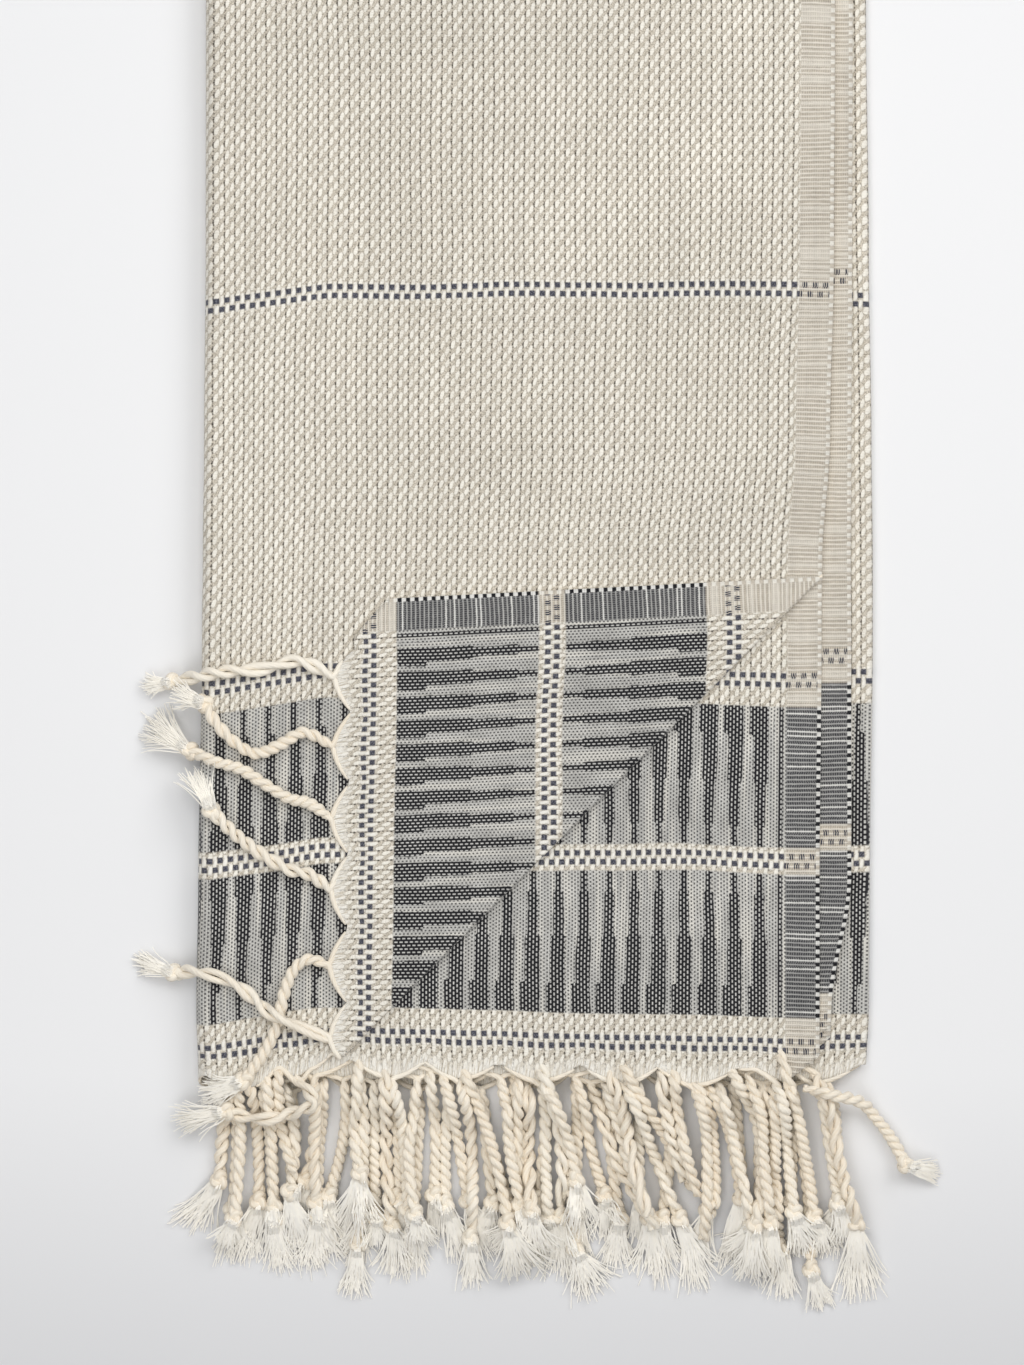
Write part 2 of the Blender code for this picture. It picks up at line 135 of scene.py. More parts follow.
# The tassels along the front, each place's lowest first (mm): the ply it hangs from (counted up from
# the bottom), its twist pitch (negative the other way round), the root's x, the knot's x and y, how
# far it bows to the right, and where its brush ends, if it has one that shows.
FRONT_TASSELS = (
    (4, -9, -116, (-121, -450), -1, (-131, -473)),
    (5, 7, -113, (-115, -464), 1, (-120, -476)),
    (3, -7, -109, (-106, -458), 1, (-111, -481)),
    (4, 7, -102, (-100, -459), 0, (-101, -479)),
    (3, 7, -96, (-94, -454), 3, (-88, -486)),
    (5, 7, -97, (-92, -446), -3, None),
    (6, -12, -84, (-88, -450), 2, (-90, -476)),
    (5, -7, -83, (-84, -458), -1, (-77, -482)),
    (4, 7, -72, (-79, -456), 2, (-77, -478)),
    (2, 7, -66, (-68, -474), 1, (-73, -494)),
    (3, 7, -61, (-61, -464), -1, (-60, -476)),
    (5, 8, -66, (-67, -447), -3, (-69, -476)),
    (4, 9, -56, (-55, -467), -2, (-50, -489)),
    (6, -7, -54, (-49, -461), 1, (-40, -479)),
    (4, 7, -43, (-46, -462), -4, (-42, -473)),
    (3, 7, -40, (-39, -456), 1, (-36, -474)),
    (5, 7, -34, (-26, -458), 0, (-18, -480)),
    (3, 7, -24, (-8, -465), -1, (-16, -477)),
    (5, 7, -26, (-11, -465), 2, (-5, -489)),
    (6, -8, -28, (-25, -472), 2, (-24, -491)),
    (2, 8, -6, (-7, -456), -1, None),
    (4, 7, -11, (-6, -459), -2, (0, -477)),
    (3, -9, -2, (-2, -460), -1, (-2, -477)),
    (2, 7, 3, (4, -464), 0, (6, -480)),
    (3, 7, 5, (15, -476), 2, (23, -496)),
    (4, 9, 4, (9, -464), 3, (10, -490)),
    (6, 7, 3, (15, -449), 2, (20, -473)),
    (4, 7, 18, (26, -456), -2, (30, -473)),
    (3, 9, 22, (43, -464), -4, (46, -490)),
    (2, 8, 27, (45, -468), -2, None),
    (5, -9, 31, (42, -462), -1, None),
    (4, 7, 35, (60, -454), 1, None),
    (6, 7, 35, (55, -465), -1, (63, -495)),
    (3, 9, 48, (57, -450), -2, None),
    (2, 7, 53, (62, -456), -2, None),
    (4, 7, 63, (68, -460), 2, None),
    (3, 7, 66, (78, -456), 2, (74, -484)),
    (2, 7, 70, (82, -466), 0, (75, -481)),
    (6, 8, 62, (64, -473), 2, None),
    (3, 9, 88, (87, -460), 0, (78, -482)),
    (2, 7, 91, (93, -476), -1, (98, -497)),
    (5, 7, 78, (83, -466), 5, (81, -490)),
    (4, 7, 85, (89, -465), -1, (91, -490)),
    (5, 7, 97, (105, -484), 2, (109, -500)),
    (3, 7, 96, (106, -464), 1, (112, -478)),
    (6, 7, 93, (98, -462), 0, (105, -478)),
    (3, 7, 108, (115, -458), 0, (119, -474)),
    (4, -9, 111, (122, -466), -2, (125, -497)),
    (6, 7, 112, (141, -444), 4, (154, -449)),
)
# Where the tassels leave the front edge (mm), and the spread of their brushes in degrees.
FRINGE_START = -411
FRONT_SPREAD = 24
LOWEST_COUNT = 20
# The tassels of the turned-back corner, from its right end on (mm): twist pitch, route, brush tip,
# and the brush's spread in degrees.
FLAP_TASSELS = (
    (-15, ((-77, -249), (-90, -252), (-104, -255), (-118, -256), (-130, -258),
     (-139, -260)), (-150, -262), 26),
    (-8, ((-80, -277), (-88, -279), (-96, -283), (-106, -287), (-114, -283), (-121, -276),
     (-126, -268)), (-139, -264), 26),
    (7, ((-78, -307), (-86, -306), (-94, -304), (-104, -298), (-112, -293), (-122, -290),
     (-132, -286)), (-151, -275), 22),
    (-9, ((-78, -336), (-86, -333), (-94, -331), (-103, -326), (-110, -321), (-116, -316),
     (-123, -309)), (-129, -293), 20),
    (7, ((-78, -366), (-86, -365), (-92, -369), (-96, -379), (-98, -389), (-103, -400),
     (-111, -411)), (-127, -419), 30),
    (-14, ((-80, -394), (-98, -387), (-105, -382), (-112, -376), (-120, -372), (-129, -370),
     (-138, -371)), (-154, -368), 24),
    (9, ((-77, -421), (-84, -418), (-91, -423), (-106, -426), (-118, -423)), (-137, -428), 24),
)


def lowest_tassels():
    """The tassels of the two lowest plies, in the same columns as the rows above."""
    rows = []
    for number in range(LOWEST_COUNT):
        x = -116 + 12 * number
        end = (x + 4 * math.sin(1.7 * number), -461 - 5 * math.sin(2.3 * number))
        tip = (end[0] + 5 * math.sin(2.9 * number), end[1] - 21)
        rows.append((number % 2, 7, x, end, 1.5 * math.cos(1.3 * number), tip))
    return rows


def fall(root, end, bow):
    """The route of a tassel that falls from its root to its knot with a bow to the right."""
    route = []
    for part in (0.0, 0.25, 0.5, 0.75, 1.0):
        x = root + (end[0] - root) * part + bow * math.sin(math.pi * part)
        route.append((x, FRINGE_START + (end[1] - FRINGE_START) * part))
    return route


def clamp(value, low, high):
    return max(low, min(high, value))


def smooth(value):
    step = clamp(value, 0.0, 1.0)
    return step * step * (3 - 2 * step)


def stray(y):
    """The four lines' stray at y, in metres."""
    before = STRAY[0]
    for row in STRAY:
        if y / MM <= row[0]:
            part = smooth((y / MM - before[0]) / max(row[0] - before[0], 1))
            return [(a + (b - a) * part) * MM for a, b in zip(before[1:], row[1:])]
        before = row
    return [number * MM for number in STRAY[-1][1:]]


def fold_end_to_end(v, w):
    turned = clamp((v - PLY_LENGTH) / HALF_PITCH, 0.0, math.pi)
    past = max(0.0, v - PLY_LENGTH - END_FOLD)
    straight = min(v, PLY_LENGTH) - past
    y = FRONT + straight + (HALF_PITCH + w) * math.sin(turned)
    return y, (HALF_PITCH + w) * math.cos(turned)


def fold_lengthwise(u):
    x, z, heading = FIRST_EDGE, TOP_HEIGHT, math.pi
    for name, length, turn in SECTION:
        step = min(u, length)
        if turn:
            radius = length / turn
            after = heading + turn * step / length
            x += radius * (math.sin(after) - math.sin(heading))
            z -= radius * (math.cos(after) - math.cos(heading))
            heading = after
        else:
            x += step * math.cos(heading)
        u -= length
        if u <= 0:
            break
    return name, x, z, heading


def turn_corner(point, lift):
    """The diagonal fold of the topmost ply's corner, which lies a little raised along the fold."""
    beyond = (point - Vector((TURN_X, FRONT, point.z))).dot(TURN_OUT)
    angle = clamp(beyond / HALF_PITCH, 0.0, math.pi)
    back = max(0.0, beyond - TURN_ARC)
    out = min(0.0, beyond) + HALF_PITCH * math.sin(angle) - back
    turned = point + TURN_OUT * (out - beyond) + UP * HALF_PITCH * (1 - math.cos(angle))
    turned += UP * 0.0007 * math.exp(-((beyond / 0.012) ** 2))
    turned.y -= 0.0095 * back / 0.135 * smooth((turned.y - FRONT) / 0.15)
    return turned + lift * (UP * math.cos(angle) - TURN_OUT * math.sin(angle))


def settle(point):
    """Stray of the outer folds, and the soft swells and rumples of the stack."""
    _, left, _, right = stray(point.y)
    side = smooth(point.x / PAD_WIDTH + 0.5)
    swell = 0.10 * math.exp(-(((point.x - LEFT_AXIS) / 0.022) ** 2))
    across = math.sin(math.tau * point.x / 0.36 + 0.8)
    swell += SWELL * (1 + across * math.sin(math.tau * point.y / 0.74 + 0.4))
    rumple = noise.noise(Vector((point.x / 0.045 + point.y / 0.11, point.y / 0.16, 0.7)))
    rumple += 0.5 * noise.noise(Vector((point.x / 0.022, point.y / 0.05, 4.2)))
    swell += RUMPLE * rumple
    return Vector((point.x + left * (1 - side) + right * side, point.y, point.z * (1 + swell)))


def drawn_end(u, roots):
    """How far the cut end is drawn out at u by the tassels whose roots these are."""
    after = np.searchsorted(roots, u)
    low = roots[max(after - 1, 0)]
    high = roots[min(after, len(roots) - 1)]
    near = min(abs(u - low), abs(u - high))
    half = max(0.010, min(0.0165, (high - low) / 2)) if high > low else 0.0146
    share = min(1.0, near / half)
    back = SCALLOP_BACK + (CORNER_BACK if low < FIRST_EDGE - TURN_X and roots is ROOTS[True] else 0.0)
    return (SCALLOP_OUT + SCALLOP_BACK) * (1 - share ** 1.7) - back


def place(u, v, w):
    """Fold the point (u, v) of the flat cloth, w above its middle, into the pad."""
    name, x, z, heading = fold_lengthwise(u)
    first_ply = v < PLY_LENGTH + END_FOLD / 2
    end = min(v, LENGTH - v)
    if end < SCALLOP_REACH:
        out = drawn_end(u, ROOTS[first_ply]) * (1 - max(end, 0.0) / SCALLOP_REACH) ** 2
        v -= out if first_ply else -out
    y, height = fold_end_to_end(v, 0.0)
    outer_y, outer_height = fold_end_to_end(v, w)
    across = Vector((math.sin(heading), 0.0, -math.cos(heading)))
    offset = across * (outer_height - height)
    offset.y = outer_y - y
    shifts = CUT_BACK[name][:3] if first_ply else CUT_BACK[name][3:]
    share = clamp((x - LEFT_AXIS) / shifts[2], 0.0, 1.0)
    y += (shifts[0] + (shifts[1] - shifts[0]) * share) * MM * smooth((BACK - y) / BACK)
    point = Vector((x, y, z)) + across * height
    if name == "top" and first_ply and (x - TURN_X) - (y - FRONT) > 0:
        point = turn_corner(point, offset.z)
        offset = Vector((0.0, 0.0, 0.0))
    if name in ("top", "second"):
        first, _, second, right = stray(point.y)
        edge, aside = (FIRST_EDGE, first) if name == "top" else (SECOND_EDGE, second)
        point.x += (aside - right) * smooth((point.x - LEFT_AXIS) / (edge - LEFT_AXIS))
    return settle(point + offset)


def run_start(run):
    """The u at which a run of the section starts."""
    start = 0.0
    for name, length, _ in SECTION:
        if name == run:
            return start
        start += length


def along_run(run, x):
    """The u of the point of a run that lies at x."""
    if run == "top":
        return FIRST_EDGE - x
    if run == "third":
        return run_start(run) + RIGHT_AXIS - x
    return run_start(run) + x - LEFT_AXIS


def front_root(ply, x):
    return clamp(along_run(RUN_OF_PLY[ply], x), 0.006, WIDTH - 0.006)


def flap_root(y):
    return FIRST_EDGE - (TURN_X + y - FRONT)


def is_first_end(ply):
    return ply in (0, 3, 4, 7)


def all_roots():
    """The u of every tassel's root on the second and on the first cut end."""
    roots = {False: [], True: [flap_root(row[1][0][1] * MM) for row in FLAP_TASSELS]}
    roots[True].append(0.008)
    for ply, _, root, *_ in (*lowest_tassels(), *FRONT_TASSELS):
        roots[is_first_end(ply)].append(front_root(ply, root * MM))
    for number in range(4):
        roots[True].append(along_run("top", -0.118 + 0.0105 * number))
    apart = {}
    for end, places in roots.items():
        kept = []
        for u in sorted(places):
            if not kept or u - kept[-1] > ROOTS_APART:
                kept.append(u)
        apart[end] = np.array(kept)
    return apart


ROOTS = all_roots()


def spaced(start, end, step):
    count = max(1, round((end - start) / step))
    return [start + (end - start) * part / count for part in range(count)]


def flat_cloth():
    """The flat cloth, divided finely where it shows and coarsely where it is hidden."""
    across = []
    start = 0.0
    for name, length, turn in SECTION:
        if turn:
            across += spaced(start, start + length, length / 8)
        elif name == "top":
            across += spaced(start, start + length, 0.0033)
        elif name == "second":
            across += spaced(start, start + length - 0.04, 0.0075)
            across += spaced(start + length - 0.04, start + length, 0.0036)
        else:
            across += spaced(start, start + length, 0.0075)
        start += length
    across.append(WIDTH)
    half = [0.0, 0.0012, 0.0026, 0.0042, 0.0062, 0.0088, 0.012] + spaced(0.016, 0.42, 0.0056)
    half += spaced(0.42, PLY_LENGTH, 0.016)
    along = half + spaced(PLY_LENGTH, PLY_LENGTH + END_FOLD, END_FOLD / 4)
    along += [LENGTH - v for v in reversed(half)]
    along.insert(len(half) + 4, PLY_LENGTH + END_FOLD)
    columns, rows = len(across), len(along)
    points = [(u, v, 0.0) for v in along for u in across]
    faces = []
    for row in range(rows - 1):
        for column in range(columns - 1):
            corner = row * columns + column
            faces.append((corner, corner + 1, corner + columns + 1, corner + columns))
    mesh = bpy.data.meshes.new("flat_cloth")
    mesh.from_pydata(points, [], faces)
    bm = bmesh.new()
    bm.from_mesh(mesh)
    bpy.data.meshes.remove(mesh)
    return bm


def cut(bm, point, normal, inside=None, clear=False):
    faces = [face for face in bm.faces if inside is None or inside(face.calc_center_median())]
    edges = list(dict.fromkeys(edge for face in faces for edge in face.edges))
    verts = list(dict.fromkeys(vert for face in faces for vert in face.verts))
    bmesh.ops.bisect_plane(
        bm,
        geom=faces + edges + verts,
        dist=1e-6,
        plane_co=point,
        plane_no=normal,
        clear_outer=clear,
    )


def make_cloth(outer, inner, rim):
    bm = flat_cloth()
    for cell in range(7):
        start = TURN_START - TURN_ARC * (cell - 1) / 4 * math.sqrt(2)

        def near(middle, start=start):
            return middle.y < 0.40 and abs(middle.x + middle.y - start) < 0.012

        cut(bm, (start, 0.0, 0.0), (1.0, 1.0, 0.0), near)
    for far_selvedge, far_end, width, length in CORNERS:
        u = WIDTH - width if far_selvedge else width
        v = LENGTH if far_end else 0.0
        outward = Vector((length if far_selvedge else -length, width if far_end else -width, 0.0))
        cut(bm, (u, v, 0.0), outward, clear=True)
    bmesh.ops.solidify(bm, geom=bm.faces[:], thickness=CLOTH)
    bmesh.ops.recalc_face_normals(bm, faces=bm.faces[:])
    middle = sum(vert.co.z for vert in bm.verts) / len(bm.verts)
    flat = bm.loops.layers.uv.new("flat")
    for face in bm.faces:
        height = face.calc_center_median().z - middle
        face.material_index = 0 if height > 0.4 * CLOTH else 1 if height < -0.4 * CLOTH else 2
        face.smooth = face.material_index < 2
        for loop in face.loops:
            loop[flat].uv = (loop.vert.co.x, loop.vert.co.y)
    for vert in bm.verts:
        vert.co = place(vert.co.x, vert.co.y, vert.co.z - middle)
    bmesh.ops.reverse_faces(bm, faces=bm.faces[:])
    mesh = bpy.data.meshes.new("towel_woven")
    bm.to_mesh(mesh)
    bm.free()
    for material in (outer, inner, rim):
        mesh.materials.append(material)
    return link("towel_woven", mesh)


def link(name, data):
    piece = bpy.data.objects.new(name, data)
    bpy.context.scene.collection.objects.link(piece)
    return piece


class Strands:
    """Tubes gathered into one mesh."""

    def __init__(self):
        self.points, self.faces, self.uvs, self.tones, self.count = [], [], [], [], 0

    def tube(self, line, radii, sides, tone):
        """A closed tube along a line of points."""
        line = np.asarray(line)
        ahead = np.gradient(line, axis=0)
        ahead /= np.maximum(np.linalg.norm(ahead, axis=1, keepdims=True), 1e-12)
        side = np.cross(ahead, np.array((0.21, 0.13, 0.97)))
        side /= np.maximum(np.linalg.norm(side, axis=1, keepdims=True), 1e-12)
        above = np.cross(side, ahead)
        angles = np.arange(sides) * math.tau / sides
        ring = side[:, None] * np.cos(angles)[None, :, None]
        ring = ring + above[:, None] * np.sin(angles)[None, :, None]
        points = line[:, None] + ring * np.asarray(radii)[:, None, None]
        steps = np.linalg.norm(np.diff(line, axis=0), axis=1)
        gone = np.concatenate([[0.0], np.cumsum(steps)])
        rings = len(line)
        first = self.count
        for row in range(rings - 1):
            low, high = first + row * sides, first + (row + 1) * sides
            for column in range(sides):
                after = (column + 1) % sides
                self.faces.append((low + after, low + column, high + column, high + after))
                left, right = column / sides, (column + 1) / sides
                self.uvs += [right, gone[row], left, gone[row]]
                self.uvs += [left, gone[row + 1], right, gone[row + 1]]
        self.faces.append(tuple(range(first, first + sides)))
        last = first + (rings - 1) * sides
        self.faces.append(tuple(range(last + sides - 1, last - 1, -1)))
        self.uvs += [0.0, 0.0] * (2 * sides)
        self.points.append(points.reshape(-1, 3))
        self.tones.append(np.full(rings * sides, tone))
        self.count += rings * sides

    def make(self, name, material, rounded=True):
        mesh = bpy.data.meshes.new(name)
        mesh.from_pydata(np.concatenate(self.points).tolist(), [], self.faces)
        layer = mesh.uv_layers.new(name="strand")
        layer.data.foreach_set("uv", np.array(self.uvs, dtype=np.float32))
        tone = mesh.attributes.new("tone", "FLOAT", "POINT")
        tone.data.foreach_set("value", np.concatenate(self.tones).astype(np.float32))
        if rounded:
            mesh.shade_smooth()
        mesh.materials.append(material)
        return link(name, mesh)


def spline(points, step):
    """A smooth line through the points, with samples about a step apart."""
    points = [np.array(point, dtype=float) for point in points]
    padded = [2 * points[0] - points[1], *points, 2 * points[-1] - points[-2]]
    line = []
    for a, b, c, d in zip(padded, padded[1:], padded[2:], padded[3:]):
        count = max(2, int(np.linalg.norm(c - b) / step))
        for part in range(count):
            t = part / count
            line.append(
                0.5
                * (2 * b + (c - a) * t + (2 * a - 5 * b + 4 * c - d) * t**2
                   + (3 * b - 3 * c + d - a) * t**3)
            )
    line.append(points[-1])
    return np.array(line)


class Pile:
    """How high the towel and the tassels laid so far stand above the floor."""

    def __init__(self):
        self.height = np.zeros(GRID_SHAPE)
        for column in range(GRID_SHAPE[0]):
            x = GRID_LOW[0] + column * GRID_STEP
            if not -0.1275 < x < 0.118:
                continue
            for row in range(GRID_SHAPE[1]):
                y = GRID_LOW[1] + row * GRID_STEP
                if y > FRONT - 0.002:
                    drop = max(0.0, LEFT_AXIS - x) ** 2 / 0.012
                    self.height[column, row] = settle(Vector((x, y, 0.0108 - drop * 12))).z

    def cell(self, x, y):
        column = int(clamp((x - GRID_LOW[0]) / GRID_STEP, 3, GRID_SHAPE[0] - 4))
        row = int(clamp((y - GRID_LOW[1]) / GRID_STEP, 3, GRID_SHAPE[1] - 4))
        return column, row

    def under(self, x, y, reach=1):
        column, row = self.cell(x, y)
        return self.height[column - reach : column + reach + 1, row - reach : row + reach + 1].max()

    def add(self, x, y, z, radius, share):
        column, row = self.cell(x, y)
        reach = int(radius / GRID_STEP)
        for across in range(-reach, reach + 1):
            for along in range(-reach, reach + 1):
                rest = radius**2 - (across**2 + along**2) * GRID_STEP**2
                if rest > 0:
                    top = z + share * math.sqrt(rest)
                    cell = (column + across, row + along)
                    self.height[cell] = max(self.height[cell], top)


def lie(route, start_height, pile, radius):
    """Lay a cord along its route: from the height of its root down onto what is there."""
    flat = spline([(x * MM, y * MM) for x, y in route], 0.00055)
    heights = np.array([pile.under(x, y) + radius * 0.86 for x, y in flat])
    steps = np.linalg.norm(np.diff(flat, axis=0), axis=1)
    for order in (range(1, len(flat)), range(len(flat) - 2, -1, -1)):
        for index in order:
            before = index - 1 if order.step > 0 else index + 1
            step = steps[min(index, before)]
            heights[index] = max(heights[index], heights[before] - 0.75 * step)
    width = 9
    kernel = np.ones(width) / width
    padded = np.concatenate([np.full(width // 2, heights[0]), heights, np.full(width // 2, heights[-1])])
    heights = np.convolve(padded, kernel, "valid")
    gone = np.concatenate([[0.0], np.cumsum(steps)])
    start = np.array([smooth(s / 0.010) for s in gone])
    heights = start_height * (1 - start) + heights * start
    heights = np.clip(heights, 0.0028, HEIGHT_LIMIT - radius)
    return np.column_stack([flat, heights]), gone


def edge_line(u, end_first, side):
    """A bundle of threads along the drawn-out cut end, from its cusp to the root at u."""
    places = []
    for share in (1.0, 0.85, 0.7, 0.5, 0.32, 0.16):
        across = u + side * BUNDLE_REACH * share
        if not 0.022 < across < WIDTH - 0.014:
            continue
        v = -0.0003 if end_first else LENGTH + 0.0003
        places.append(tuple(place(across, v, 0.0)))
    return places


def twist(strands, line, gone, pitch, legs, tone, random_source):
    """Two plies: each comes along one side of the root, and then they twist round each other."""
    length = gone[-1]
    ahead = np.gradient(line, axis=0)
    ahead /= np.maximum(np.linalg.norm(ahead, axis=1, keepdims=True), 1e-12)
    side = np.cross(ahead, np.array((0.0, 0.0, 1.0)))
    side /= np.maximum(np.linalg.norm(side, axis=1, keepdims=True), 1e-12)
    above = np.cross(side, ahead)
    loose = abs(pitch) > 8.5
    pitch *= random_source.uniform(1.05, 1.35) * (1.35 if loose else 1.0)
    phase = random_source.uniform(0, math.tau)
    wander = 0.24 * np.sin(gone / 0.017 + phase) + 0.12 * np.sin(gone / 0.0061 + 2 * phase)
    turned = phase + math.tau * (gone / (pitch * MM) + wander)
    reach = (0.00112 + (0.00030 if loose else 0.0)) * (0.35 + 0.65 * np.minimum(1, gone / 0.006))
    swell = 1 + 0.07 * np.sin(gone / 0.0043 + phase)
    for ply in (0, 1):
        angle = (turned + math.pi * ply)[:, None]
        helix = line + reach[:, None] * (side * np.cos(angle) + above * np.sin(angle) * 0.88)
        radii = PLY_RADIUS * swell * (0.8 + 0.2 * np.minimum(1, gone / 0.008))
        radii = radii * (1 - 0.15 * np.maximum(0, gone - length + 0.004) / 0.004)
        leg = legs[ply]
        if len(leg) > 1:
            joined = spline([*leg, helix[2], helix[6]], 0.0009)
            body = np.concatenate([joined[:-1], helix[6:]])
            grown = 0.00050 + (radii[6] - 0.00050) * np.linspace(0, 1, len(joined) - 1) ** 0.6
            sizes = np.concatenate([grown, radii[6:]])
        else:
            body, sizes = helix, radii
        body[:, 2] = np.maximum(body[:, 2], sizes + 0.0001)
        strands.tube(body, sizes, 8, tone + random_source.uniform(-0.12, 0.12))


def knot(strands, centre, heading, size, tone, random_source):
    """A small overhand knot."""
    t = np.linspace(0, math.tau, 46)
    shape = np.column_stack(
        [np.sin(t) + 2 * np.sin(2 * t), np.cos(t) - 2 * np.cos(2 * t), -np.sin(3 * t)]
    )
    shape *= np.array((0.92, 0.80, 1.25)) * size / 3
    turned = heading + random_source.uniform(-0.5, 0.5)
    cos, sin = math.cos(turned), math.sin(turned)
    shape = np.column_stack(
        [shape[:, 0] * cos - shape[:, 1] * sin, shape[:, 0] * sin + shape[:, 1] * cos, shape[:, 2]]
    )
    strands.tube(shape + centre, np.full(46, size * 0.50), 7, tone)
    strands.tube(
        np.array([centre + np.array((0, 0, -0.0004)), centre + np.array((0, 0, 0.0006))]),
        np.full(2, size * 0.62),
        8,
        tone,
    )


def brush(strands, centre, tip, spread, pile, tone, random_source, count):
    """The frayed end: fine fibres in a few clumps, coming down onto what is there."""
    way = np.array((tip[0] * MM - centre[0], tip[1] * MM - centre[1]))
    length = max(0.012, np.linalg.norm(way))
    heading = math.atan2(way[1], way[0])
    clumps = []
    for _ in range(6):
        turn = math.radians(spread) * random_source.uniform(-1, 1)
        clumps.append((turn, random_source.uniform(0.82, 1.08), random_source.uniform(-1, 1)))
    for _ in range(count):
        turn, reach, bend = random_source.choice(clumps)
        angle = heading + turn * 0.55 + math.radians(spread) * random_source.gauss(0, 0.17)
        bend = bend * 0.45 + random_source.gauss(0, 0.22)
        size = length * reach * random_source.uniform(0.72, 1.06)
        start = 0.0019 * random_source.uniform(-1, 1)
        level = random_source.uniform(0, 1)
        wave, phase = random_source.uniform(0.0001, 0.0005), random_source.uniform(0, 6)
        x = centre[0] - math.sin(heading) * start
        y = centre[1] + math.cos(heading) * start
        z = centre[2] + 0.0012 * (level - 0.5)
        line = [(x, y, z)]
        steps = 6
        for part in range(1, steps + 1):
            along = part / steps
            aim = angle + bend * along + 0.10 * math.sin(phase + 5 * along)
            x += math.cos(aim) * size / steps
            y += math.sin(aim) * size / steps
            sway = wave * math.sin(phase + 7 * along)
            floor = pile.under(x, y, 0) + 0.0004
            rest = floor + 0.0022 * level * (1 - 0.5 * along)
            fall = centre[2] + 0.0012 * (level - 0.5) - 0.030 * (size * along / 0.03) ** 2 * 0.5
            z = clamp(max(rest, fall), 0.0004, HEIGHT_LIMIT)
            line.append((x - math.sin(aim) * sway, y + math.cos(aim) * sway, z))
        radii = np.linspace(0.00038, 0.00020, steps + 1)
        strands.tube(line, radii, 3, tone + random_source.uniform(-0.25, 0.25))
    for part in (0.2, 0.4, 0.6, 0.8):
        pile.add(centre[0] + way[0] * part, centre[1] + way[1] * part, 0.0, 0.004, 0.3)


def make_tassel(strands, hairs, u, first_end, pitch, route, tip, spread, pile, number):
    source = random.Random(SEED + number)
    tone = source.uniform(-0.5, 0.5)
    legs = []
    for side in (-1, 1):
        legs.append(edge_line(u, first_end, side))
    root = place(u, -0.0002 if first_end else LENGTH + 0.0002, 0.0)
    points = [(root.x / MM, root.y / MM), *route[1:]]
    line, gone = lie(points, root.z, pile, CORD_RADIUS)
    twist(strands, line, gone, pitch, legs, tone, source)
    for x, y, z in line[8::3]:
        pile.add(x, y, z, CORD_RADIUS, 0.62)
    if tip is None:
        return
    centre = line[-1].copy()
    heading = math.atan2(line[-1][1] - line[-6][1], line[-1][0] - line[-6][0])
    centre[2] = max(centre[2], KNOT_HEIGHT)
    knot(strands, centre, heading, KNOT_SIZE, tone, source)
    pile.add(centre[0], centre[1], centre[2], 0.0034, 0.8)
    brush(hairs, centre, tip, spread, pile, tone, source, FIBRES)


class Signal:
    """A number in a material: arithmetic with it adds the nodes that work it out."""

    def __init__(self, tree, socket):
        self.tree, self.socket = tree, socket

    def math(self, operation, *others, clamped=False):
        node = self.tree.nodes.new("ShaderNodeMath")
        node.operation = operation
        node.use_clamp = clamped
        for socket, value in zip(node.inputs, (self, *others)):
            if isinstance(value, Signal):
                self.tree.links.new(value.socket, socket)
            else:
                socket.default_value = value
        return Signal(self.tree, node.outputs[0])

    def __add__(self, other):
        return self.math("ADD", other)

    def __sub__(self, other):
        return self.math("SUBTRACT", other)

    def __mul__(self, other):
        return self.math("MULTIPLY", other)

    def __truediv__(self, other):
        return self.math("DIVIDE", other)

    def __rsub__(self, other):
        return (self * -1.0) + other

    __radd__, __rmul__ = __add__, __mul__

    def part(self):
        return self.math("FRACT")

    def whole(self):
        return self.math("FLOOR")

    def size(self):
        return self.math("ABSOLUTE")

    def wave(self):
        return self.math("SINE")

    def least(self, other):
        return self.math("MINIMUM", other)

    def most(self, other):
        return self.math("MAXIMUM", other)

    def clipped(self):
        """The number kept between 0 and 1."""
        return self.math("ADD", 0.0, clamped=True)

    def over(self, edge, soft):
        """0 below the edge and 1 above it, over a soft width."""
        return ((self - edge) / soft).math("ADD", 0.5, clamped=True)

    def near(self, centre, half, soft):
        """1 within half of the centre, 0 outside, with soft edges."""
        return (half - (self - centre).size()).over(0.0, soft)

    def within(self, pitch, offset=0.0):
        """Distance from the nearest of the lines a pitch apart."""
        return ((((self - offset) / pitch) + 0.5).part() - 0.5) * pitch


def plane(x, y):
    """The two numbers as a vector."""
    node = x.tree.nodes.new("ShaderNodeCombineXYZ")
    for socket, value in zip(node.inputs, (x, y)):
        if isinstance(value, Signal):
            x.tree.links.new(value.socket, socket)
        else:
            socket.default_value = value
    return node.outputs[0]


def cloud(x, y, detail=2.0):
    """Smooth noise from 0 to 1 over the two numbers."""
    node = x.tree.nodes.new("ShaderNodeTexNoise")
    node.noise_dimensions = "2D"
    node.inputs["Scale"].default_value = 1.0
    node.inputs["Detail"].default_value = detail
    x.tree.links.new(plane(x, y), node.inputs["Vector"])
    return Signal(x.tree, node.outputs[0])


def dice(x, y):
    """A random number from 0 to 1 for each pair of whole numbers."""
    node = x.tree.nodes.new("ShaderNodeTexWhiteNoise")
    node.noise_dimensions = "2D"
    x.tree.links.new(plane(x, y), node.inputs["Vector"])
    return Signal(x.tree, node.outputs["Value"])


def mixed(share, first, second):
    """The first colour, or the second where the share is 1."""
    node = share.tree.nodes.new("ShaderNodeMix")
    node.data_type = "RGBA"
    share.tree.links.new(share.socket, node.inputs[0])
    for socket, value in ((node.inputs[6], first), (node.inputs[7], second)):
        if isinstance(value, tuple):
            socket.default_value = (*value, 1.0)
        else:
            share.tree.links.new(value, socket)
    return node.outputs[2]


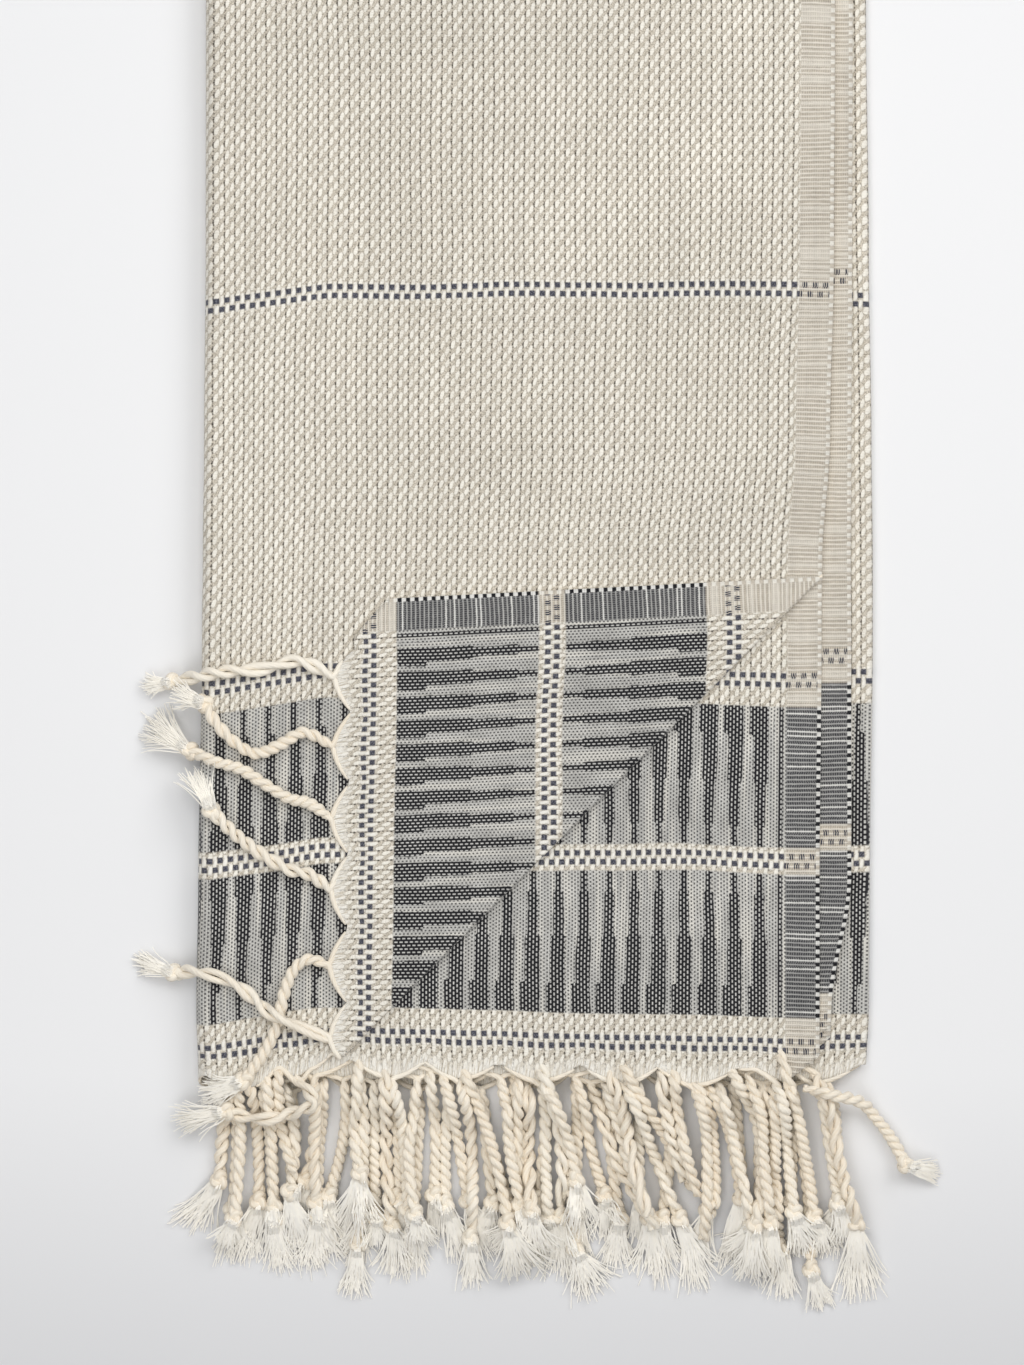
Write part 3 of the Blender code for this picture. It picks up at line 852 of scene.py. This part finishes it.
def sheet_coordinates(tree, layer):
    node = tree.nodes.new("ShaderNodeUVMap")
    node.uv_map = layer
    split = tree.nodes.new("ShaderNodeSeparateXYZ")
    tree.links.new(node.outputs[0], split.inputs[0])
    return Signal(tree, split.outputs[0]), Signal(tree, split.outputs[1])


def new_material(name, sheen, specular):
    material = bpy.data.materials.new(name)
    material.use_nodes = True
    shader = material.node_tree.nodes["Principled BSDF"]
    shader.inputs["Sheen Weight"].default_value = sheen
    shader.inputs["Sheen Roughness"].default_value = 0.45
    shader.inputs["Specular IOR Level"].default_value = specular
    shader.inputs["Metallic"].default_value = 0.0
    return material, material.node_tree, shader


def bump(tree, shader, height, distance, strength):
    node = tree.nodes.new("ShaderNodeBump")
    node.inputs["Distance"].default_value = distance
    node.inputs["Strength"].default_value = strength
    tree.links.new(height.socket, node.inputs["Height"])
    tree.links.new(node.outputs[0], shader.inputs["Normal"])


# Colours of the yarns, and the painted shade of the weave's pores, as the shader takes them.
CREAM = (0.92, 0.88, 0.79)
OAT = (0.66, 0.595, 0.50)
SHADE = (0.20, 0.165, 0.125)
PORE_SHADE = (0.045, 0.036, 0.028)
SLATE = (0.050, 0.051, 0.068)
SLATE_LIGHT = (0.17, 0.172, 0.20)
CHARCOAL = (0.008, 0.008, 0.011)
PALE_GREY = (0.40, 0.39, 0.365)
WHITE_YARN = (0.86, 0.845, 0.80)
SOFT_BLACK = (0.035, 0.034, 0.036)
IVORY = (0.93, 0.84, 0.70)

# The weave's repeat and where its bands lie, in mm: across the width, and from a cut end.
LINE_PITCH = 3.91
FLOAT_PITCH = 4.85
END_PAIR = 12.9
MIDDLE_PAIR = 83.0
BODY_PAIR = 152.2
PAIR_PITCH = 144.0
END_PAIR_TO = 48.0
MIDDLE_PAIR_TO = 118.0
STRIPE_PITCH = 9.65
STRIPE_PHASE = 22.9
GREY_ZONES = ((23.5, 78.0), (88.0, 142.0))
SELVEDGE = 13.0


def weave(name, inner):
    """One face of the towel; the inner face has the grey zones' stripes in reverse."""
    material, tree, shader = new_material(name, 0.25, 0.18)
    raw_u, raw_v = sheet_coordinates(tree, "flat")
    u = raw_u * 1000.0
    v_all = raw_v * 1000.0
    v = v_all.least(LENGTH / MM - v_all)
    edge = u.least(WIDTH / MM - u)
    drift = cloud(u / 70.0, v_all / 95.0) - 0.5
    settle_in = (v / 60.0).clipped()
    d = v + drift * settle_in * 4.0
    s = u + (cloud(u / 55.0, v_all / 60.0 + 9.0) - 0.5) * 1.6
    tremble = cloud(u / 1.7, v_all / 1.7, 1.0) - 0.5

    # Body: columns of slanted floats between dotted lines of pores, darkened with painted shade.
    line = (s / LINE_PITCH).whole()
    across = (s / LINE_PITCH).part() * LINE_PITCH + tremble * 0.5
    upward = d + tremble * 0.5
    slant = 0.22
    lean_a = upward.within(FLOAT_PITCH, 1.2)
    lean_b = upward.within(FLOAT_PITCH, 1.2 + FLOAT_PITCH / 2)
    float_a = ((across - 1.1 + lean_a * slant) / 0.86).math("POWER", 2.0)
    float_a = 1.0 - (float_a + (lean_a / 1.85).math("POWER", 2.0))
    float_b = ((across - 2.92 + lean_b * slant) / 0.86).math("POWER", 2.0)
    float_b = 1.0 - (float_b + (lean_b / 1.85).math("POWER", 2.0))
    floats = float_a.most(float_b).math("MULTIPLY", 2.4, clamped=True)
    row = (upward / FLOAT_PITCH).whole()
    luck = dice(line, row)
    pores = s.within(LINE_PITCH).near(0.0, 0.22, 0.25) * d.within(1.62).near(0.0, 0.34, 0.35)
    # painted shade: a dark dot on each line beside the floats stands for the shade there.
    float_shade = s.within(LINE_PITCH, 0.1).near(0.0, 0.28, 0.3)
    float_shade = float_shade * upward.within(FLOAT_PITCH, 3.2).near(0.0, 0.42, 0.4)
    speckle = cloud(s / 0.42, d / 0.5, 2.0).over(0.50, 0.32)
    fleck = cloud(s / 0.55 + 7.0, d / 0.7, 1.0).over(0.66, 0.10)
    ground = speckle * 0.7 + cloud(s / 1.6, d / 2.6, 2.0) * 0.5 - 0.05
    ground = ground.clipped()
    body = mixed(ground, (0.37, 0.325, 0.255), (0.77, 0.705, 0.60))
    body = mixed(fleck * 0.60, body, SHADE)
    threads = (upward * (math.tau / 1.05)).wave() * 0.12 + 0.80 + (luck - 0.5) * 0.25
    body = mixed(floats * (threads + speckle * 0.12), body, CREAM)
    # painted shade: the pores and the dots beside the floats are darkened to stand for the shade in
    # these recesses.
    body = mixed((pores * 0.72).most(float_shade * 0.95), body, PORE_SHADE)
    height = floats * 0.8 + ground * 0.3 - pores * 0.6

    # Double rows of small squares with cream bars between them.
    end_pair = d - END_PAIR
    middle_pair = d - MIDDLE_PAIR
    body_pair = (d - BODY_PAIR).within(PAIR_PITCH)
    past_end = (d - END_PAIR_TO).math("GREATER_THAN", 0.0)
    past_middle = (d - MIDDLE_PAIR_TO).math("GREATER_THAN", 0.0)
    from_pair = end_pair + (middle_pair - end_pair) * past_end
    from_pair = from_pair + (body_pair - from_pair) * past_middle
    upper = from_pair.math("GREATER_THAN", 0.0)
    from_row = (from_pair.size() - 1.7).size()
    side = (s - 1.05 - upper * (LINE_PITCH / 2)).within(LINE_PITCH)
    squares = side.near(0.0, 1.05, 0.4) * (1.08 - from_row).over(0.0, 0.45)
    bars = side.within(LINE_PITCH, LINE_PITCH / 2).near(0.0, 0.54, 0.5)
    bars = bars * (1.75 - from_row).over(0.0, 0.5)
    rows = from_pair.near(0.0, 3.6, 0.8)
    body = mixed(rows * 0.18, body, CREAM)
    body = mixed(bars * 0.80, body, (0.92, 0.89, 0.82))
    dab = cloud(s / 0.6, d / 0.6, 2.0).over(0.56, 0.25)
    body = mixed(squares, body, mixed(dab, SLATE, SLATE_LIGHT))
    height = height + bars * 0.6 + squares * 0.3

    # Grey zones: stripes along the towel, which widen in steps away from the middle band.
    grey = None
    steps = None
    for start, end in GREY_ZONES:
        inside = d.near((start + end) / 2, (end - start) / 2, 0.8)
        away = end - d if start < 50 else d - start
        width = away.over(8.0, 0.6) * 1.55 + away.over(25.0, 0.8) * 1.7 + away.over(43.0, 0.8) * 1.75
        width = (width + 2.4) * inside
        grey = inside if grey is None else grey.most(inside)
        steps = width if steps is None else steps + width
    ragged = tremble * 0.9 + (cloud(u / 12.0, v_all / 9.0) - 0.5) * 0.9
    place_in = s - STRIPE_PHASE - steps.over(6.4, 1.2) * 0.9
    stripe = (steps / 2 - place_in.within(STRIPE_PITCH).size() + ragged * 0.8).over(0.0, 0.5)
    stripe = stripe * edge.over(17.6, 0.5)
    stripe = stripe.most(edge.near(15.2, 0.8, 0.4))
    dark = stripe if inner else 1.0 - stripe
    cell = (s / 1.31).whole()
    half_drop = (cell * 0.5).part() * 1.98
    speck_side = s.within(1.31, 0.655)
    speck = speck_side.near(0.0, 0.26, 0.26) * (d + half_drop).within(1.98).near(0.0, 0.58, 0.35)
    dot_cell = (s / 1.15).whole()
    dot_drop = (dot_cell * 0.5).part() * 1.5
    dots = s.within(1.15, 0.575).near(0.0, 0.29, 0.26) * (d + dot_drop).within(1.5).near(0.0, 0.36, 0.28)
    threads = (s * (math.tau / 0.655)).wave() * 0.10 + (d * (math.tau / 0.66)).wave() * 0.10
    blotch = cloud(u / 6.0, v_all / 9.0, 3.0)
    tint = cloud(u / 3.0, v_all / 40.0, 2.0).over(0.57, 0.2) * 0.5
    light = mixed((blotch * 0.6 + threads + 0.06).clipped(), PALE_GREY, WHITE_YARN)
    light = mixed(tint, light, CREAM)
    light = mixed(dots * 0.92, light, SOFT_BLACK)
    gloom = mixed((blotch * 0.5 + threads).clipped(), CHARCOAL, SOFT_BLACK)
    gloom = mixed(speck * (blotch * 0.5 + 0.5), gloom, WHITE_YARN)
    striped = mixed(dark, light, gloom)
    colour = mixed(grey, body, striped)
    height = height * (1.0 - grey) + grey * (threads * 2.0 + speck * 0.5 - dots * 0.4 + 0.3)

    # Selvedges: fine ribs across, with small dashes in the grey zones and beads at the edge.
    band = 1.0 - edge.over(SELVEDGE, 0.5)
    rib_row = (d / 1.67 + tremble * 0.15).whole()
    row_luck = dice(rib_row, 0.0)
    rib = (d + tremble * 0.25).within(1.67).near(0.83, 0.30, 0.35)
    rib = rib.most((d + tremble * 0.25).within(1.67).near(-0.83, 0.30, 0.35))
    weft = (edge + tremble * 0.3 + row_luck * 0.4).within(0.88).near(0.0, 0.26, 0.26)
    streak = cloud(edge / 5.0, d / 1.3, 2.0)
    dash = weft * (1.0 - rib)
    bright = row_luck.over(0.78, 0.1)
    ribs = mixed((0.95 - dash * 0.42 + (streak - 0.5) * 0.5).clipped(), SHADE, OAT)
    ribs = mixed((rib * 0.50).most(bright * 0.35), ribs, CREAM)
    faded = (rib * 0.45 + streak * 0.42 + bright * 0.22).clipped()
    dashes = mixed(faded, (0.13, 0.13, 0.135), (0.52, 0.51, 0.485))
    dashes = mixed((bright * rib * 0.7).clipped(), dashes, WHITE_YARN)
    dashes = mixed(dash * 0.85, dashes, CHARCOAL)
    ribs = mixed(grey, ribs, dashes)
    ticks = squares * weft.over(0.3, 0.4)
    ribs = mixed(ticks, ribs, SLATE)
    bead = 1.0 - edge.over(1.5, 0.3)
    dark_bead = mixed(grey, OAT, CHARCOAL)
    light_bead = mixed(grey, CREAM, WHITE_YARN)
    beads = mixed(d.within(3.3).near(0.0, 0.85, 0.3), dark_bead, light_bead)
    ribs = mixed(bead, ribs, beads)
    colour = mixed(band, colour, ribs)
    height = height * (1.0 - band) + band * (rib * 0.7 - dash * 0.4)

    # The last threads before the cut end are drawn together towards the tassels' roots.
    end_zone = 1.0 - v.over(4.2, 4.0)
    hair = cloud(u / 0.45 + v * 0.35, v / 7.0, 2.0)
    drawn = mixed(hair.over(0.45, 0.3), (0.62, 0.55, 0.44), (0.95, 0.92, 0.85))
    colour = mixed(end_zone * 0.9, colour, drawn)

    wide = cloud(u / 90.0, v_all / 60.0, 3.0)
    slub = cloud(u / 2.2, v_all / 120.0, 2.0)
    shade = (wide - 0.5) * 0.20 + (slub - 0.5) * 0.16 + 1.0
    tone = tree.nodes.new("ShaderNodeVectorMath")
    tone.operation = "SCALE"
    tree.links.new(colour, tone.inputs[0])
    tree.links.new(shade.socket, tone.inputs["Scale"])
    tree.links.new(tone.outputs[0], shader.inputs["Base Color"])
    rough = (height * -0.06 + wide * 0.08 + 0.88).clipped()
    tree.links.new(rough.socket, shader.inputs["Roughness"])
    bump(tree, shader, height + hair * end_zone * 1.2, 0.0004, 0.75)
    return material


def cotton(name, textured=True):
    """Ivory cotton yarn, with fine twisted fibres and painted shade between them or, for the brushes'
    single fibres, without.
    """
    material, tree, shader = new_material(name, 0.35 if textured else 1.0, 0.15)
    around, along = sheet_coordinates(tree, "strand")
    node = tree.nodes.new("ShaderNodeAttribute")
    node.attribute_name = "tone"
    tone = Signal(tree, node.outputs["Fac"])
    fibre = (around * math.tau * 5.0 + along * (math.tau / 0.0034)).wave() * 0.5 + 0.5
    fleck = cloud(around * 9.0 + along * 900.0, along * 260.0 + tone * 31.0, 3.0)
    slow = cloud(along * 55.0 + tone * 17.0, tone * 9.0, 2.0)
    if textured:
        # painted shade: the warm tan between the fine fibre lines stands for the shade in the grooves of
        # the twist; the flecks are the yarn's own varying tone.
        warm = mixed((fibre * 0.45 + fleck * 0.55).clipped(), (0.80, 0.665, 0.49), IVORY)
        fair = (0.965, 0.915, 0.81)
    else:
        warm = mixed((fleck * 0.8 + 0.1).clipped(), (0.93, 0.87, 0.76), (1.0, 0.98, 0.93))
        fair = (1.0, 0.97, 0.90)
    pale = mixed((slow * 0.6 + tone * 0.35 + 0.2).clipped(), warm, fair)
    tree.links.new(pale, shader.inputs["Base Color"])
    rough = (fleck * 0.12 + 0.80).clipped()
    tree.links.new(rough.socket, shader.inputs["Roughness"])
    if textured:
        bump(tree, shader, fibre * 0.6 + fleck * 0.8, 0.00022, 0.8)
    return material


def floor_material():
    """A pale floor, with painted shade that darkens it in front of the towel."""
    material, tree, shader = new_material("pale_floor", 0.0, 0.2)
    place_at = tree.nodes.new("ShaderNodeTexCoord")
    split = tree.nodes.new("ShaderNodeSeparateXYZ")
    tree.links.new(place_at.outputs["Object"], split.inputs[0])
    # painted shade: the floor's colour darkens towards the front, where the light falls off.
    painted_front_shade = (Signal(tree, split.outputs[1]) * -1.0).over(0.475, 0.13)
    tree.links.new(mixed(painted_front_shade, (0.86, 0.86, 0.865), (0.70, 0.70, 0.71)), shader.inputs["Base Color"])
    shader.inputs["Roughness"].default_value = 0.8
    return material


def set_stage():
    """The floor, the light and the camera above."""
    mesh = bpy.data.meshes.new("floor")
    mesh.from_pydata([(-6, -6, 0), (6, -6, 0), (6, 6, 0), (-6, 6, 0)], [], [(0, 1, 2, 3)])
    mesh.materials.append(floor_material())
    floor = link("floor", mesh)
    floor.location.z = -0.0002
    world = bpy.data.worlds.new("soft_room")
    world.use_nodes = True
    world.node_tree.nodes["Background"].inputs[0].default_value = (0.985, 0.99, 1.0, 1.0)
    world.node_tree.nodes["Background"].inputs[1].default_value = WORLD_STRENGTH
    bpy.context.scene.world = world
    for name, place_at, size, power in LIGHTS:
        light = bpy.data.lights.new(name, "AREA")
        light.energy = power
        light.size = size
        lamp = link(name, light)
        lamp.location = place_at
        aim = Vector((0.0, -0.26, 0.0)) - Vector(place_at)
        lamp.rotation_euler = aim.to_track_quat("-Z", "Y").to_euler()
    camera = bpy.data.cameras.new("above")
    camera.sensor_width = 36.0
    camera.lens = 36.0 * CAMERA_HEIGHT / VIEW_HEIGHT
    camera.clip_start = 0.05
    camera.clip_end = 50.0
    seat = link("above", camera)
    seat.location = (VIEW_CENTRE[0], VIEW_CENTRE[1], CAMERA_HEIGHT + 0.011)
    bpy.context.scene.camera = seat
    bpy.context.scene.view_settings.view_transform = "Standard"


WORLD_STRENGTH = 0.33
LIGHTS = (
    ("window", (0.85, 0.40, 1.0), 0.8, 7.9),
    ("ceiling", (-0.18, 0.15, 0.85), 0.7, 3.3),
    ("front", (-0.15, -0.75, 0.95), 0.7, 2.9),
)
CAMERA_HEIGHT = 1.4
VIEW_HEIGHT = 0.5187
VIEW_CENTRE = (-0.0093, -0.2601)

set_stage()
cloth = make_cloth(weave("weave_outer_face", False), weave("weave_inner_face", True), cotton("rim_yarn"))
yarn = cotton("fringe_yarn")
pile = Pile()
GROUPS = ("first_end_low", "first_end_high", "second_end_low", "second_end_high", "corner_tassels")
groups = {name: Strands() for name in GROUPS}
brushes = {name: Strands() for name in GROUPS}
for number, (ply, pitch, root, end, bow, tip) in enumerate((*lowest_tassels(), *FRONT_TASSELS)):
    route = fall(root, end, bow)
    first_end = is_first_end(ply)
    name = ("first" if first_end else "second") + ("_end_high" if ply > 2 else "_end_low")
    u = front_root(ply, root * MM)
    made = groups[name], brushes[name]
    make_tassel(*made, u, first_end, pitch, route, tip, FRONT_SPREAD, pile, number)
for number, (pitch, route, tip, spread) in enumerate(FLAP_TASSELS):
    u = flap_root(route[0][1] * MM)
    made = groups["corner_tassels"], brushes["corner_tassels"]
    make_tassel(*made, u, True, pitch, route, tip, spread, pile, FLAP_SEED + number)
tassels = {name: group.make(name, yarn) for name, group in groups.items()}
hair = cotton("brush_yarn", textured=False)
for name, group in brushes.items():
    tassels[name + "_brushes"] = group.make(name + "_brushes", hair, rounded=False)
for name, piece in tassels.items():
    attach(piece, "root")
    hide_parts("fringe_of_second_end" if name.startswith("second") else "fringe_of_first_end")
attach(cloth, "root")
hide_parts("towel_cloth")
